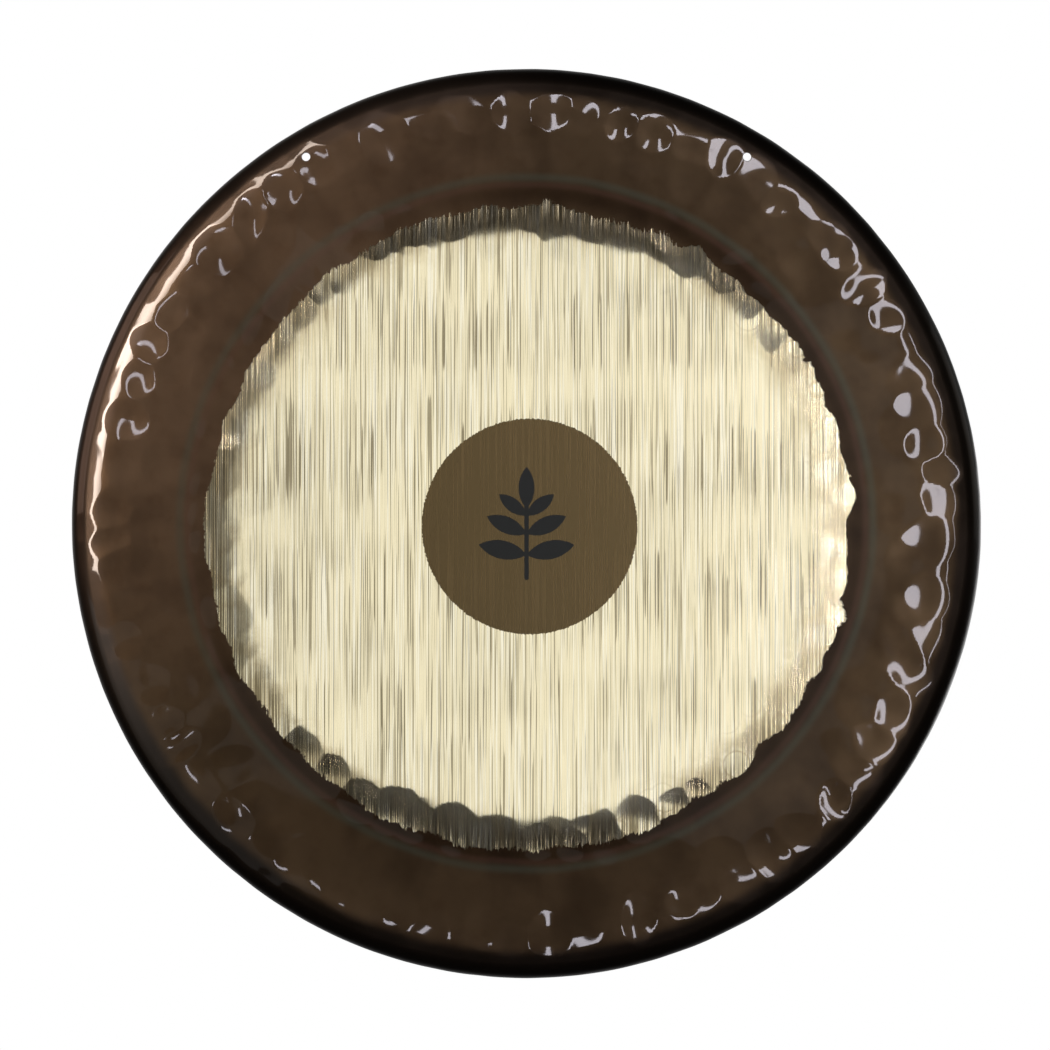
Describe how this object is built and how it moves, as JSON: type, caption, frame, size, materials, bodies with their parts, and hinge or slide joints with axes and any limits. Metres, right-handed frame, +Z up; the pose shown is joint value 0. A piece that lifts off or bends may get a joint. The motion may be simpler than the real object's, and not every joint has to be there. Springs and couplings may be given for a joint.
{
  "type": "tam tam gong",
  "caption": "Round hammered metal gong with a low crown, a bright scraped middle, a dark oxide border, a turned-back rim and holes for a hanging cord.",
  "frame": {"origin": "on the gong's axis, half way between the struck face and the lip of the rim", "axes": "+Z up as the gong hangs, towards the side with the cord holes; Y is the gong's axis, with the struck face towards -Y and the open hollow side towards +Y; +X is to the right for someone facing the struck side"},
  "size_m": [0.66, 0.05, 0.66],
  "materials": {
    "gong_alloy": "hammered nickel-silver gong alloy: dark brown oxide border, bright scraped middle, olive oxide centre",
    "black_ink": "thin satin black screen-printed ink"
  },
  "bodies": {
    "root": {"gong_sheet": "gong_alloy", "emblem": "black_ink"}
  },
  "joints": []
}
